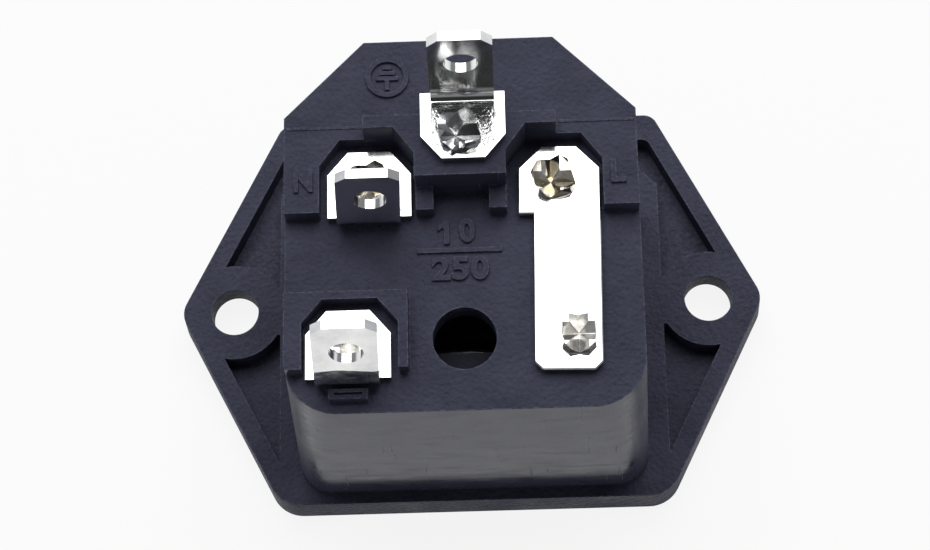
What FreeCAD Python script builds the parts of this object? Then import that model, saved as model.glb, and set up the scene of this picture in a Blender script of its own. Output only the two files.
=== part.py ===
import FreeCAD, Part
import math
import os

# Fused mains inlet for a panel, lying on its front face: a moulded housing with a
# three-pin socket and a fuse drawer in its front, and solder tabs on its rear.
# X runs along the two screws, Y from the fuse drawer to the earth pin, Z from the
# front face to the rear. The origin is midway between the screws on the front face.
# All sizes are in millimetres.

V = FreeCAD.Vector
AXIS_Z = V(0, 0, 1)

# Socket and its pins
inlet_width = 24.2
inlet_height = 16.5
inlet_depth = 18.0
inlet_chamfer = 5.5
inlet_corner_r = 0.8
pin_pitch = 14.0
earth_offset = 4.0
pin_width = 4.0
pin_thickness = 2.0
pin_tip_bevel = 0.5
line_tip_depth = 2.5
earth_tip_depth = 1.2
pin_root = 2.5
shank_d = 2.6
shank_inset = 0.75
pin_fit_gap = 0.05

# Staked rear ends of the pins and rivets
stake_width = 3.05
stake_height = 1.0
stake_taper = 0.12
stake_corner = 0.5
stake_groove_width = 1.4
stake_groove_depth = 0.75
pin_stake_turn = 15.0
pin_punch_x = -0.2
pin_punch_y = -0.42

# Fuses, fuse clips and rivets
fuse_length = 20.0
fuse_cap_d = 5.2
fuse_cap_length = 5.0
fuse_cap_end = 0.4
fuse_glass_d = 4.8
fuse_glass_wall = 0.6
fuse_wire_d = 0.25
fuse_glass_gap = 0.03
clip_x = 8.5
clip_width = 3.2
clip_sheet = 0.5
clip_gap = 0.1
clip_grip = 2.0
clip_flare_length = 1.2
clip_flare_angle = 20.0
rivet_d = 2.0
rivet_stake_width = 2.6
rivet_stake_length = 3.0
rivet_head_d = 3.0
rivet_head_height = 0.7
rivet_to_fuse = 0.6
rivet_drop = 0.25

# Fuse drawer and its bay
fuse_row_y = -9.6
bay_height = 8.0
bay_corner_r = 1.0
bay_rear_wall = 2.0
septum = 1.2
drawer_gap = 0.15
drawer_recess = 0.3
drawer_front = 2.4
drawer_rail = 1.1
drawer_partition = 1.2
drawer_lip = 0.7
drawer_lip_drop = 0.2
drawer_rail_rise = 2.0
fuse_end_play = 0.35
fuse_seat_gap = 0.05
fuse_side_gap = 0.25
cradle_end_gap = 0.4
pull_slot_width = 8.0
pull_slot_height = 1.6
pull_slot_depth = 1.3
view_hole_d = 4.8

# Housing body
body_depth = 24.6
side_wall = 1.4
earth_wall = 2.05
fuse_wall = 1.6
body_draft = 0.7
body_side_draft = 0.85
body_chamfer = 6.15
foot_corner_r = 2.5
corner_growth = 1.5

# Housing flange
flange_thickness = 3.4
flange_half_height = 17.0
flange_draft = 0.15
flange_side_margin = 1.75
flange_tip_margin = 4.75
flange_tip_r = 2.0
fuse_corner_r = 2.8
earth_corner_r = 1.2
screw_pitch = 40.0
screw_hole_d = 4.0
countersink_d = 6.2
boss_d = 8.3
rim_width = 1.65
earth_rim = 2.4
foot_strip = 1.8
foot_strip_cut = 2.5
rear_pocket_depth = 2.0
rear_pocket_r = 0.8
boss_web_half = 2.1

# Terminals and the link strap, stamped from sheet
sheet = 0.8
terminal_width = 6.36
terminal_length = 5.29
terminal_chamfer_x = 1.55
terminal_chamfer_y = 1.82
tab_width = 4.8
tab_step = 0.68
tab_bend_r = 0.7
tab_hole_d = 2.55
tab_hole_drop = 3.2
tab_tip_chamfer_x = 0.85
tab_tip_chamfer_z = 0.6
neutral_edge = 2.65
neutral_tab = 7.8
neutral_lean = 9.4
neutral_sway = 0.3
earth_edge = 2.05
earth_shift = 0.32
earth_tab = 8.6
earth_lean = 7.0
earth_sway = 0.05
earth_tip_chamfer_x = 0.85
earth_tip_chamfer_z = 0.8
hollow_width = 4.7
hollow_depth = 0.45
hollow_front = 1.55
output_edge = 2.42
output_shift = -0.17
output_tab = 8.6
output_lean = 16.0
output_sway = 0.25
strap_head_width = 6.25
strap_head_shift = 0.445
strap_head_chamfer = 1.8
strap_edge = 2.72
strap_shoulder = 5.5
strap_width = 5.1
strap_end = 2.63
strap_end_chamfer = 0.6
strap_turn = -1.25

# Raised surrounds on the rear face
surround_height = 1.5
surround_inset = 0.05
pocket_back_gap = 0.78
pocket_inner_gap = 0.37
pocket_outer_gap = 0.57
pocket_chamfer_x = 1.55
pocket_chamfer_y = 2.1
pocket_length = 5.85
rib_width = 1.35
island_height = 3.8
island_half = 7.3
island_front = 1.01
island_length = 5.0
output_wall = 0.75
output_back_wall = 0.65
output_gap = 0.42
output_back_gap = 0.7
output_length = 5.4
stop_width = 2.95
stop_height = 0.95
stop_length = 0.77
stop_gap = 0.14
stop_groove_width = 0.2
stop_groove_length = 2.1
stop_groove_depth = 0.25

# Sizes worked out from the ones above
bay_depth = body_depth - bay_rear_wall
bay_width = fuse_length + 2 * (fuse_end_play + drawer_rail + drawer_gap)
bay_top_y = fuse_row_y + bay_height / 2
bay_bottom_y = fuse_row_y - bay_height / 2
inlet_bottom_y = bay_top_y + septum
inlet_centre_y = inlet_bottom_y + inlet_height / 2
inlet_top_y = inlet_bottom_y + inlet_height
line_blade_y = inlet_centre_y - earth_offset / 2
earth_blade_y = inlet_centre_y + earth_offset / 2
line_shank_y = line_blade_y + shank_inset
earth_shank_y = earth_blade_y - shank_inset
pin_x = pin_pitch / 2
rivet_y = fuse_row_y - rivet_drop
root_z = inlet_depth + pin_root
body_half = max(inlet_width, bay_width) / 2 + side_wall
body_earth_y = inlet_top_y + earth_wall
body_fuse_y = bay_bottom_y - fuse_wall
foot_half = body_half + body_side_draft
body_corner_r = foot_corner_r + corner_growth
flange_edge_half = foot_half + flange_side_margin
flange_tip_x = screw_pitch / 2 + flange_tip_margin
surround_top = body_depth + surround_height
island_top = body_depth + island_height
pocket_back_y = line_shank_y + neutral_edge + pocket_back_gap
pocket_front_y = pocket_back_y - pocket_length
pocket_inner_x = pin_x - terminal_width / 2 - pocket_inner_gap
pocket_outer_x = pin_x + terminal_width / 2 + pocket_outer_gap
island_front_y = earth_shank_y - earth_edge - island_front
active_fuse_z = bay_depth - clip_sheet - rivet_head_height - rivet_to_fuse - fuse_cap_d / 2
spare_fuse_z = drawer_recess + drawer_front + fuse_side_gap + fuse_cap_d / 2
drawer_half = bay_width / 2 - drawer_gap
cradle_half = fuse_length / 2 - fuse_cap_length - cradle_end_gap
drawer_bottom_y = bay_bottom_y + drawer_gap


def box(low, high):
    """Block between two opposite corners."""
    size = V(*high) - V(*low)
    return Part.makeBox(size.x, size.y, size.z, V(*low))


def cylinder(x, y, low_z, high_z, diameter):
    """Upright cylinder."""
    return Part.makeCylinder(diameter / 2, high_z - low_z, V(x, y, low_z), AXIS_Z)


def outline(corners, z):
    """Closed wire through (x, y, radius) corners at height z, each rounded by its radius."""
    stops = []
    for i, (x, y, r) in enumerate(corners):
        corner = V(x, y, z)
        before = corners[i - 1]
        after = corners[(i + 1) % len(corners)]
        back = (V(before[0], before[1], z) - corner).normalize()
        ahead = (V(after[0], after[1], z) - corner).normalize()
        half = back.getAngle(ahead) / 2
        reach = r / math.tan(half)
        bisector = (back + ahead).normalize()
        middle = corner + bisector * (r / math.sin(half) - r)
        stops.append((corner + back * reach, middle, corner + ahead * reach, r))
    edges = []
    for i, (start, middle, end, r) in enumerate(stops):
        if r > 0:
            edges.append(Part.Arc(start, middle, end).toShape())
        edges.append(Part.LineSegment(end, stops[(i + 1) % len(stops)][0]).toShape())
    return Part.Wire(edges)


def prism(corners, low_z, high_z):
    """Upright solid over a rounded outline."""
    return Part.Face(outline(corners, low_z)).extrude(V(0, 0, high_z - low_z))


def sharp(points):
    """Corners with no rounding."""
    return [(x, y, 0) for x, y in points]


def octagon_back(low_x, high_x, back_y, front_y, chamfer_x, chamfer_y):
    """Corners of a plate or pocket with its two back corners cut off."""
    return sharp([(low_x, front_y), (high_x, front_y),
                  (high_x, back_y - chamfer_y), (high_x - chamfer_x, back_y),
                  (low_x + chamfer_x, back_y), (low_x, back_y - chamfer_y)])


def frustum(low, high):
    """Solid with plane faces between two rings of as many points."""
    faces = [Part.Face(Part.makePolygon(ring + ring[:1])) for ring in (low, high)]
    for i in range(len(low)):
        faces.append(Part.Face(Part.makePolygon([low[i - 1], low[i], high[i], high[i - 1], low[i - 1]])))
    return Part.Solid(Part.Shell(faces))


def round_corner(sign):
    """Cone that rounds one fuse-side corner of the body, wider at the rear than at the foot.

    Comes with the points where it touches the fuse wall and the side wall, at the foot
    and at the rear face."""
    foot = V(sign * foot_half, body_fuse_y - body_draft, flange_thickness)
    edge = V(sign * body_half, body_fuse_y, body_depth) - foot
    growth = corner_growth / edge.Length
    fuse_wall = V(0, -edge.z, body_draft).normalize()
    side_wall = V(sign * edge.z, 0, body_side_draft).normalize()
    inward = (fuse_wall + side_wall) * (1 / (1 + fuse_wall.dot(side_wall)))
    along = edge.normalize()
    apex = foot - along * (foot_corner_r / growth)
    axis = along - inward * growth
    spread = math.tan(math.asin(growth / axis.Length))
    lines = [axis + fuse_wall * growth, axis + side_wall * growth]
    touch = [[apex + line * ((z - apex.z) / line.z) for line in lines]
             for z in (flange_thickness, body_depth)]
    axis = axis.normalize()
    near = flange_thickness - apex.z - foot_corner_r
    far = body_depth - apex.z + body_corner_r
    cone = Part.makeCone(near * spread, far * spread, far - near, apex + axis * near, axis)
    cone.rotate(apex, axis, 90)
    return touch, cone


def drafted_body():
    """Body above the flange: plane drafted walls, and a cone at each fuse-side corner."""
    corners = {sign: round_corner(sign) for sign in (-1, 1)}
    rings = []
    for level, (side, earth, z) in enumerate(((foot_half, body_earth_y + body_draft, flange_thickness),
                                              (body_half, body_earth_y, body_depth))):
        earth_side = [(side, earth - body_chamfer), (side - body_chamfer, earth),
                      (body_chamfer - side, earth), (-side, earth - body_chamfer)]
        rings.append(corners[-1][0][level][::-1] + corners[1][0][level]
                     + [V(x, y, z) for x, y in earth_side])
    body = frustum(*rings)
    for sign, (touch, cone) in corners.items():
        out = V(sign, -1, 0) * body_corner_r
        corner = frustum(*[[fuse, side, side + out, fuse + out] for fuse, side in touch])
        body = body.fuse(cone.common(corner))
    return body


def surround_block():
    """Block as high as the raised walls over the whole rear face, set in a little from its edge."""
    side = body_half - surround_inset
    fuse = body_fuse_y + surround_inset
    earth = body_earth_y - surround_inset
    return prism([(-side, fuse, body_corner_r), (side, fuse, body_corner_r),
                  (side, earth - body_chamfer, 0), (side - body_chamfer, earth, 0),
                  (body_chamfer - side, earth, 0), (-side, earth - body_chamfer, 0)],
                 body_depth, surround_top)


def flange_outline(inset, z):
    """Six-sided outline of the flange, drawn in all round by inset."""
    slope = (flange_tip_x - flange_edge_half) / flange_half_height
    tip = flange_tip_x - inset * math.hypot(1, slope)
    high = flange_half_height - inset
    side = tip - slope * high
    return outline([(-side, -high, fuse_corner_r), (side, -high, fuse_corner_r), (tip, 0, flange_tip_r),
                    (side, high, earth_corner_r), (-side, high, earth_corner_r),
                    (-tip, 0, flange_tip_r)], z)


def flange():
    """Drafted flange with screw bosses and a pocket cored out on each side of them.

    A flat strip stays round the body's foot and follows its cut corners."""
    plate = Part.makeLoft([flange_outline(0, 0), flange_outline(flange_draft, flange_thickness)],
                          True, True)
    slope = (flange_tip_x - flange_edge_half) / flange_half_height
    rim_x = flange_tip_x - rim_width * math.hypot(1, slope)
    strip_x = foot_half + foot_strip
    strip_sum = foot_half + body_earth_y + body_draft - body_chamfer + foot_strip_cut * math.sqrt(2)
    top_y = flange_half_height - earth_rim
    root = [(strip_x, boss_web_half, 0), (rim_x - slope * boss_web_half, boss_web_half, 0)]
    fuse_side = root + [(strip_x, (rim_x - strip_x) / slope, 0)]
    earth_side = root + [(rim_x - slope * top_y, top_y, rear_pocket_r),
                         (strip_sum - top_y, top_y, 0), (strip_x, strip_sum - strip_x, 0)]
    for sx in (-1, 1):
        boss = cylinder(sx * screw_pitch / 2, 0, 0, flange_thickness, boss_d)
        for sy, corners in ((-1, fuse_side), (1, earth_side)):
            pocket = prism([(sx * x, sy * y, r) for x, y, r in corners],
                           flange_thickness - rear_pocket_depth, flange_thickness)
            plate = plate.cut(pocket.cut(boss))
    return plate


def rear_surrounds():
    """Raised walls round the terminals and the island that carries the earth terminal."""
    reach = 2 * flange_tip_x
    top = surround_block().common(box((-reach, pocket_front_y, body_depth), (reach, reach, surround_top)))
    gap_x = pocket_inner_x - rib_width
    top = top.cut(box((-gap_x, pocket_front_y, body_depth), (gap_x, island_front_y, surround_top)))
    island = box((-island_half, island_front_y, body_depth),
                 (island_half, island_front_y + island_length, island_top))
    raised = top.fuse(island)
    for low_x, high_x in ((-pocket_outer_x, -pocket_inner_x), (pocket_inner_x, pocket_outer_x)):
        pocket = octagon_back(low_x, high_x, pocket_back_y, pocket_front_y,
                              pocket_chamfer_x, pocket_chamfer_y)
        raised = raised.cut(prism(pocket, body_depth, island_top))
    return raised


def output_surround():
    """Three-sided wall round the fused output terminal, and the stop in front of its tab."""
    inner_x = -clip_x + terminal_width / 2 + output_gap
    outer_x = -clip_x - terminal_width / 2 - output_gap
    back_y = rivet_y + output_edge + output_back_gap
    front_y = back_y - output_length
    wall = box((-body_half, front_y, body_depth),
               (inner_x + output_wall, back_y + output_back_wall, surround_top)).common(surround_block())
    pocket = octagon_back(outer_x, inner_x, back_y, front_y, terminal_chamfer_x, terminal_chamfer_y)
    wall = wall.cut(prism(pocket, body_depth, surround_top))
    stop_x = -clip_x + output_shift
    stop_back = rivet_y + output_edge - terminal_length - tab_step - stop_gap
    stop_front = stop_back - stop_length
    stop_top = body_depth + stop_height
    stop = box((stop_x - stop_width / 2, stop_front, body_depth),
               (stop_x + stop_width / 2, stop_back, stop_top))
    groove_y = (stop_front + stop_back) / 2
    groove = box((stop_x - stop_groove_length / 2, groove_y - stop_groove_width / 2,
                  stop_top - stop_groove_depth),
                 (stop_x + stop_groove_length / 2, groove_y + stop_groove_width / 2, stop_top))
    return wall.fuse(stop.cut(groove))


def rivet_places():
    """Rivets that hold the fuse clips: output side first, then line side."""
    return ((-clip_x, rivet_y), (clip_x, rivet_y))


def pin_places():
    """Blade centre, shank centre and tip depth of each pin, by name."""
    return {"earth": (0, earth_blade_y, earth_shank_y, earth_tip_depth),
            "neutral": (-pin_x, line_blade_y, line_shank_y, line_tip_depth),
            "line": (pin_x, line_blade_y, line_shank_y, line_tip_depth)}


def bay_corners(shrink):
    """Corners of the drawer bay, or of what slides in it when shrunk."""
    side = bay_width / 2 - shrink
    low = bay_bottom_y + shrink
    high = bay_top_y - shrink
    r = bay_corner_r - shrink
    return [(-side, low, r), (side, low, r), (side, high, r), (-side, high, r)]


def housing():
    """One moulding: flange, drafted body, rear surrounds, socket and drawer bay."""
    solid = flange().fuse([drafted_body(), rear_surrounds(), output_surround()])
    half = inlet_width / 2
    socket = [(-half, inlet_bottom_y, inlet_corner_r), (half, inlet_bottom_y, inlet_corner_r),
              (half, inlet_top_y - inlet_chamfer, inlet_corner_r),
              (half - inlet_chamfer, inlet_top_y, inlet_corner_r),
              (inlet_chamfer - half, inlet_top_y, inlet_corner_r),
              (-half, inlet_top_y - inlet_chamfer, inlet_corner_r)]
    cuts = [prism(socket, 0, inlet_depth), prism(bay_corners(0), 0, bay_depth),
            cylinder(0, fuse_row_y, bay_depth, body_depth, view_hole_d)]
    slot_x = pin_thickness / 2 + pin_fit_gap
    slot_y = pin_width / 2 + pin_fit_gap
    for x, blade_y, shank_y, tip in pin_places().values():
        cuts.append(box((x - slot_x, blade_y - slot_y, inlet_depth),
                        (x + slot_x, blade_y + slot_y, root_z)))
        cuts.append(cylinder(x, shank_y, root_z, island_top, shank_d + 2 * pin_fit_gap))
    for x, y in rivet_places():
        cuts.append(cylinder(x, y, bay_depth, body_depth, rivet_d + 2 * pin_fit_gap))
    sink = (countersink_d - screw_hole_d) / 2
    for x in (-screw_pitch / 2, screw_pitch / 2):
        cuts.append(cylinder(x, 0, 0, flange_thickness, screw_hole_d))
        cuts.append(Part.makeCone(countersink_d / 2, screw_hole_d / 2, sink, V(x, 0, 0), AXIS_Z))
    return solid.cut(cuts).removeSplitter()


def cut_corners(width, length, cut):
    """Corners of a block seen from above, with each corner cut off."""
    x = width / 2
    y = length / 2
    return sharp([(cut - x, -y), (x - cut, -y), (x, cut - y), (x, y - cut),
                  (x - cut, y), (cut - x, y), (-x, y - cut), (-x, cut - y)])


def staked_end(x, y, z, width, length, turn, punch_x, punch_y):
    """Pin end spread over its plate by a cross-shaped punch, which leaves four lobes.

    The end is turned by turn degrees and the punch struck punch_x, punch_y off its middle."""
    low = outline(cut_corners(width, length, stake_corner), z)
    high = outline(cut_corners(width - 2 * stake_taper, length - 2 * stake_taper, stake_corner),
                   z + stake_height)
    head = Part.makeLoft([low, high], True, True)
    head.rotate(V(0, 0, 0), AXIS_Z, turn)
    top = z + stake_height
    half = stake_groove_width / 2
    reach = width + length
    triangle = Part.makePolygon([V(-half, -reach, top), V(half, -reach, top),
                                 V(0, -reach, top - stake_groove_depth), V(-half, -reach, top)])
    for angle in (0, 90):
        groove = Part.Face(triangle).extrude(V(0, 2 * reach, 0))
        groove.rotate(V(0, 0, 0), AXIS_Z, angle)
        groove.translate(V(punch_x, punch_y, 0))
        head = head.cut(groove)
    head.translate(V(x, y, 0))
    return head


def blade_pin(place, seat_z):
    """Flat contact pin with a round shank through the housing, staked over its terminal."""
    x, blade_y, shank_y, tip_z = place
    tip = box((x - pin_thickness / 2, blade_y - pin_width / 2, tip_z),
              (x + pin_thickness / 2, blade_y + pin_width / 2, root_z))
    front = [e for e in tip.Edges if abs(e.BoundBox.ZMax - tip_z) < 1e-6]
    blade = tip.makeChamfer(pin_tip_bevel, front)
    shank = cylinder(x, shank_y, root_z, seat_z, shank_d)
    end = staked_end(x, shank_y, seat_z, stake_width, stake_width,
                     pin_stake_turn, pin_punch_x, pin_punch_y)
    return blade.fuse([shank, end]).removeSplitter()


def bend_line(edge):
    """Place along Y where a terminal's plate ends and its tab begins to bend up."""
    return edge - terminal_length - tab_step + tab_bend_r + sheet


def terminal(edge, shift, hole_d, tab_length, lean, sway, tip_x, tip_z):
    """Bent terminal about its pin hole: plate with its free edge at +Y, tab up at the other end.

    The plate lies on z = 0, shifted along X. The tab leans towards +Y by lean degrees, and
    its tip stands sway to one side."""
    low = shift - terminal_width / 2
    high = shift + terminal_width / 2
    tab_low = shift - tab_width / 2
    tab_high = shift + tab_width / 2
    shoulder = edge - terminal_length
    bend_outer = tab_bend_r + sheet
    bend_y = bend_line(edge)
    plate = prism(sharp([(low, shoulder), (tab_low, shoulder), (tab_low, bend_y), (tab_high, bend_y),
                         (tab_high, shoulder), (high, shoulder), (high, edge - terminal_chamfer_y),
                         (high - terminal_chamfer_x, edge), (low + terminal_chamfer_x, edge),
                         (low, edge - terminal_chamfer_y)]), 0, sheet)
    centre = V(tab_low, bend_y, bend_outer)
    turn = math.radians(lean)
    rise = V(0, math.sin(turn), math.cos(turn))
    outward = V(0, -math.cos(turn), math.sin(turn))
    down = V(0, 0, -1)
    middle = (outward + down).normalize()
    inner_end = centre + outward * tab_bend_r
    outer_end = centre + outward * bend_outer
    edges = [Part.LineSegment(centre + down * tab_bend_r, centre + down * bend_outer),
             Part.Arc(centre + down * bend_outer, centre + middle * bend_outer, outer_end),
             Part.LineSegment(outer_end, inner_end),
             Part.Arc(inner_end, centre + middle * tab_bend_r, centre + down * tab_bend_r)]
    bend = Part.Face(Part.Wire([e.toShape() for e in edges])).extrude(V(tab_width, 0, 0))
    straight = tab_length - bend_outer
    left = sway
    right = sway + tab_width
    profile = [(0, 0), (tab_width, 0), (right, straight - tip_z), (right - tip_x, straight),
               (left + tip_x, straight), (left, straight - tip_z), (0, 0)]
    face = Part.Face(Part.makePolygon([outer_end + V(x, 0, 0) + rise * up for x, up in profile]))
    hole_at = outer_end + V(sway + tab_width / 2, 0, 0) + rise * (straight - tab_hole_drop)
    hole = Part.makeCylinder(tab_hole_d / 2, sheet, hole_at, outward * -1)
    tab = face.extrude(outward * -sheet).cut(hole)
    pin_hole = cylinder(0, 0, 0, sheet, hole_d + 2 * pin_fit_gap)
    return plate.fuse([bend, tab]).cut(pin_hole).removeSplitter()


def coined_hollow():
    """Hollow pressed into the earth terminal's plate, deepest at the bend of its tab."""
    low_x = -earth_shift - hollow_width / 2
    deep_y = bend_line(earth_edge)
    points = [(hollow_front, sheet), (hollow_front, 2 * sheet), (deep_y, 2 * sheet),
              (deep_y, sheet - hollow_depth), (hollow_front, sheet)]
    side = Part.Face(Part.makePolygon([V(low_x, y, z) for y, z in points]))
    return side.extrude(V(hollow_width, 0, 0))


def link_strap():
    """Flat strap that carries the line pin's current to the fuse clip, staked a little askew."""
    head_low = strap_head_shift - strap_head_width / 2
    high = head_low + strap_head_width
    low = high - strap_width
    back = strap_edge
    shoulder = back - strap_shoulder
    front = rivet_y - strap_end - line_shank_y
    cut = strap_head_chamfer
    end = strap_end_chamfer
    points = sharp([(low, front + end), (low + end, front), (high - end, front), (high, front + end),
                    (high, back - cut), (high - cut, back), (head_low + cut, back),
                    (head_low, back - cut), (head_low, shoulder), (low, shoulder)])
    strap = prism(points, body_depth, body_depth + sheet)
    strap.rotate(V(0, 0, 0), AXIS_Z, strap_turn)
    strap.translate(V(pin_x, line_shank_y, 0))
    pin_hole = cylinder(pin_x, line_shank_y, body_depth, body_depth + sheet, shank_d + 2 * pin_fit_gap)
    rivet_hole = cylinder(clip_x, rivet_y, body_depth, body_depth + sheet, rivet_d + 2 * pin_fit_gap)
    return strap.cut([pin_hole, rivet_hole])


def fuse_clip(x):
    """Spring clip for one fuse cap: a base on the bay's rear wall and two flared leaves."""
    low = x - clip_width / 2
    high = x + clip_width / 2
    inner = fuse_cap_d / 2 + clip_gap
    outer = inner + clip_sheet
    tip_z = active_fuse_z - clip_grip
    base = box((low, fuse_row_y - outer, bay_depth - clip_sheet), (high, fuse_row_y + outer, bay_depth))
    parts = []
    slope = math.radians(clip_flare_angle)
    flare = V(0, math.sin(slope), -math.cos(slope)) * clip_flare_length
    for sign in (-1, 1):
        near = fuse_row_y + sign * inner
        far = fuse_row_y + sign * outer
        lean = V(0, sign * flare.y, flare.z)
        points = [V(low, near, bay_depth - clip_sheet), V(low, near, tip_z), V(low, near, tip_z) + lean,
                  V(low, far, tip_z) + lean, V(low, far, tip_z), V(low, far, bay_depth - clip_sheet)]
        side = Part.Face(Part.makePolygon(points + points[:1]))
        parts.append(side.extrude(V(clip_width, 0, 0)))
    hole = cylinder(x, rivet_y, bay_depth - clip_sheet, bay_depth, rivet_d + 2 * pin_fit_gap)
    return base.fuse(parts).cut(hole).removeSplitter()


def clip_rivet(x, seat_z):
    """Solid rivet through a fuse clip, the rear wall and the metal behind it."""
    head_z = bay_depth - clip_sheet
    head = cylinder(x, rivet_y, head_z - rivet_head_height, head_z, rivet_head_d)
    shank = cylinder(x, rivet_y, head_z, seat_z, rivet_d)
    end = staked_end(x, rivet_y, seat_z, rivet_stake_width, rivet_stake_length, 0, 0, 0)
    return head.fuse([shank, end]).removeSplitter()


def fuse_drawer():
    """Tray with a flush front: a spare fuse behind the front, the working fuse in the cradle."""
    front_z = drawer_recess
    tray_z = front_z + drawer_front
    front = prism(bay_corners(drawer_gap), front_z, tray_z)
    slot = box((-pull_slot_width / 2, drawer_bottom_y, front_z),
               (pull_slot_width / 2, drawer_bottom_y + pull_slot_height, front_z + pull_slot_depth))
    cap_r = fuse_cap_d / 2
    glass_r = fuse_glass_d / 2
    partition_z = spare_fuse_z + cap_r + fuse_side_gap
    cradle_z = partition_z + drawer_partition
    lip_in = glass_r + fuse_side_gap
    end_z = active_fuse_z + lip_in + drawer_lip
    lip_top = fuse_row_y - drawer_lip_drop
    rail_in = fuse_length / 2 + fuse_end_play
    rail_top = fuse_row_y + drawer_rail_rise
    tray_top = fuse_row_y - cap_r - fuse_seat_gap
    cradle_top = fuse_row_y - glass_r - fuse_seat_gap
    pieces = [box((-drawer_half, drawer_bottom_y, tray_z), (drawer_half, tray_top, cradle_z)),
              box((-drawer_half, drawer_bottom_y, partition_z), (drawer_half, rail_top, cradle_z)),
              box((-cradle_half, drawer_bottom_y, cradle_z), (cradle_half, cradle_top, end_z)),
              box((-cradle_half, drawer_bottom_y, end_z - drawer_lip), (cradle_half, lip_top, end_z)),
              box((-cradle_half, drawer_bottom_y, active_fuse_z - lip_in - drawer_lip),
                  (cradle_half, lip_top, active_fuse_z - lip_in))]
    for low, high in ((-drawer_half, -rail_in), (rail_in, drawer_half)):
        pieces.append(box((low, drawer_bottom_y, tray_z), (high, rail_top, end_z)))
    inside = prism(bay_corners(drawer_gap), tray_z, end_z)
    tray = pieces[0].fuse(pieces[1:]).common(inside)
    return front.cut(slot).fuse(tray).removeSplitter()


def fuse_parts(z):
    """Cartridge fuse along X at height z: glass tube, two end caps and the wire between them."""
    along = V(1, 0, 0)
    half = fuse_length / 2

    def rod(low_x, high_x, diameter):
        return Part.makeCylinder(diameter / 2, high_x - low_x, V(low_x, fuse_row_y, z), along)

    inner = half - fuse_cap_end
    tube = rod(-inner, inner, fuse_glass_d).cut(rod(-inner, inner, fuse_glass_d - 2 * fuse_glass_wall))
    bore = fuse_glass_d + 2 * fuse_glass_gap
    left = rod(-half, fuse_cap_length - half, fuse_cap_d).cut(rod(-inner, fuse_cap_length - half, bore))
    right = rod(half - fuse_cap_length, half, fuse_cap_d).cut(rod(half - fuse_cap_length, inner, bore))
    wire = rod(-inner, inner, fuse_wire_d)
    return {"glass": tube, "cap_left": left, "cap_right": right, "wire": wire}


pins = pin_places()
rear_seat = body_depth + sheet
earth_seat = island_top + sheet
earth_terminal = terminal(earth_edge, -earth_shift, shank_d, earth_tab, -earth_lean, -earth_sway,
                          earth_tip_chamfer_x, earth_tip_chamfer_z)
earth_terminal = earth_terminal.cut(coined_hollow())
earth_terminal.rotate(V(0, 0, 0), AXIS_Z, 180)
earth_terminal.translate(V(0, earth_shank_y, island_top))
neutral_terminal = terminal(neutral_edge, 0, shank_d, neutral_tab, neutral_lean, neutral_sway,
                            tab_tip_chamfer_x, tab_tip_chamfer_z)
neutral_terminal.translate(V(-pin_x, line_shank_y, body_depth))
output_terminal = terminal(output_edge, output_shift, rivet_d, output_tab, output_lean, output_sway,
                           tab_tip_chamfer_x, tab_tip_chamfer_z)
output_terminal.translate(V(-clip_x, rivet_y, body_depth))
nodes = {
    "housing": housing(),
    "earth_pin": blade_pin(pins["earth"], earth_seat),
    "neutral_pin": blade_pin(pins["neutral"], rear_seat),
    "line_pin": blade_pin(pins["line"], rear_seat),
    "earth_terminal": earth_terminal,
    "neutral_terminal": neutral_terminal,
    "output_terminal": output_terminal,
    "line_strap": link_strap(),
    "fuse_clip_output": fuse_clip(-clip_x),
    "fuse_clip_line": fuse_clip(clip_x),
    "clip_rivet_output": clip_rivet(-clip_x, rear_seat),
    "clip_rivet_line": clip_rivet(clip_x, rear_seat),
    "fuse_drawer": fuse_drawer(),
}
for name, height in (("fuse", active_fuse_z), ("spare_fuse", spare_fuse_z)):
    for piece, shape in fuse_parts(height).items():
        nodes[name + "_" + piece] = shape

os.makedirs("parts", exist_ok=True)
for name, shape in nodes.items():
    shape.exportStep("parts/" + name + ".step")
    print(name, "solids", len(shape.Solids), "valid", shape.isValid(), "volume", round(shape.Volume, 2))
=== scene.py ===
import math

import bpy
import bmesh
from mathutils import Matrix, Vector


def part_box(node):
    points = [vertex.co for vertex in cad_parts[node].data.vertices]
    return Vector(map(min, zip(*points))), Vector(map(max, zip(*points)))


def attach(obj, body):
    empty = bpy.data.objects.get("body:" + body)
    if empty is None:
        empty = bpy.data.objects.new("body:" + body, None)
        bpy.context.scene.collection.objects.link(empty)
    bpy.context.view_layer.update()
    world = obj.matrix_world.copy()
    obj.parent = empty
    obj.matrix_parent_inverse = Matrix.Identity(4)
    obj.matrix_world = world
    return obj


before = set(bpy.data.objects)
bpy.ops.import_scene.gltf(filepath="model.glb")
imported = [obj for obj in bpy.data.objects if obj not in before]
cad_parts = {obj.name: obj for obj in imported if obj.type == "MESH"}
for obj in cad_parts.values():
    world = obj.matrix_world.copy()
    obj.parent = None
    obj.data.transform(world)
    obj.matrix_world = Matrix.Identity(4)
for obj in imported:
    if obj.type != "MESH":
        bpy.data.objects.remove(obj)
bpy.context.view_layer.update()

# Housing: one moulding of black glass-filled nylon, with the flange, the drafted body and the
# raised walls in one shot. The mould face is spark eroded, which leaves a fine grain on the flat
# faces. The walls slid out of the steel, so they are rubbed, and the fuse side is the smoothest.
MM = 0.001
HOUSING_EDGE = 0.16 * MM
WELD_REACH = 0.002 * MM
FLAT_FOLD = math.radians(0.6)
EDGE_FOLD = math.radians(35)
SHARP_FOLD = math.radians(50)
WIDE_FACE_WEIGHT = 50
NORMALS_SCALE = 1000


def geometry_group(name):
    """Empty node group that takes a piece in and gives it out."""
    group = bpy.data.node_groups.new(name, "GeometryNodeTree")
    for way in ("INPUT", "OUTPUT"):
        group.interface.new_socket("Geometry", in_out=way, socket_type="NodeSocketGeometry")
    return group, group.nodes.new("NodeGroupInput"), group.nodes.new("NodeGroupOutput")


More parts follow.
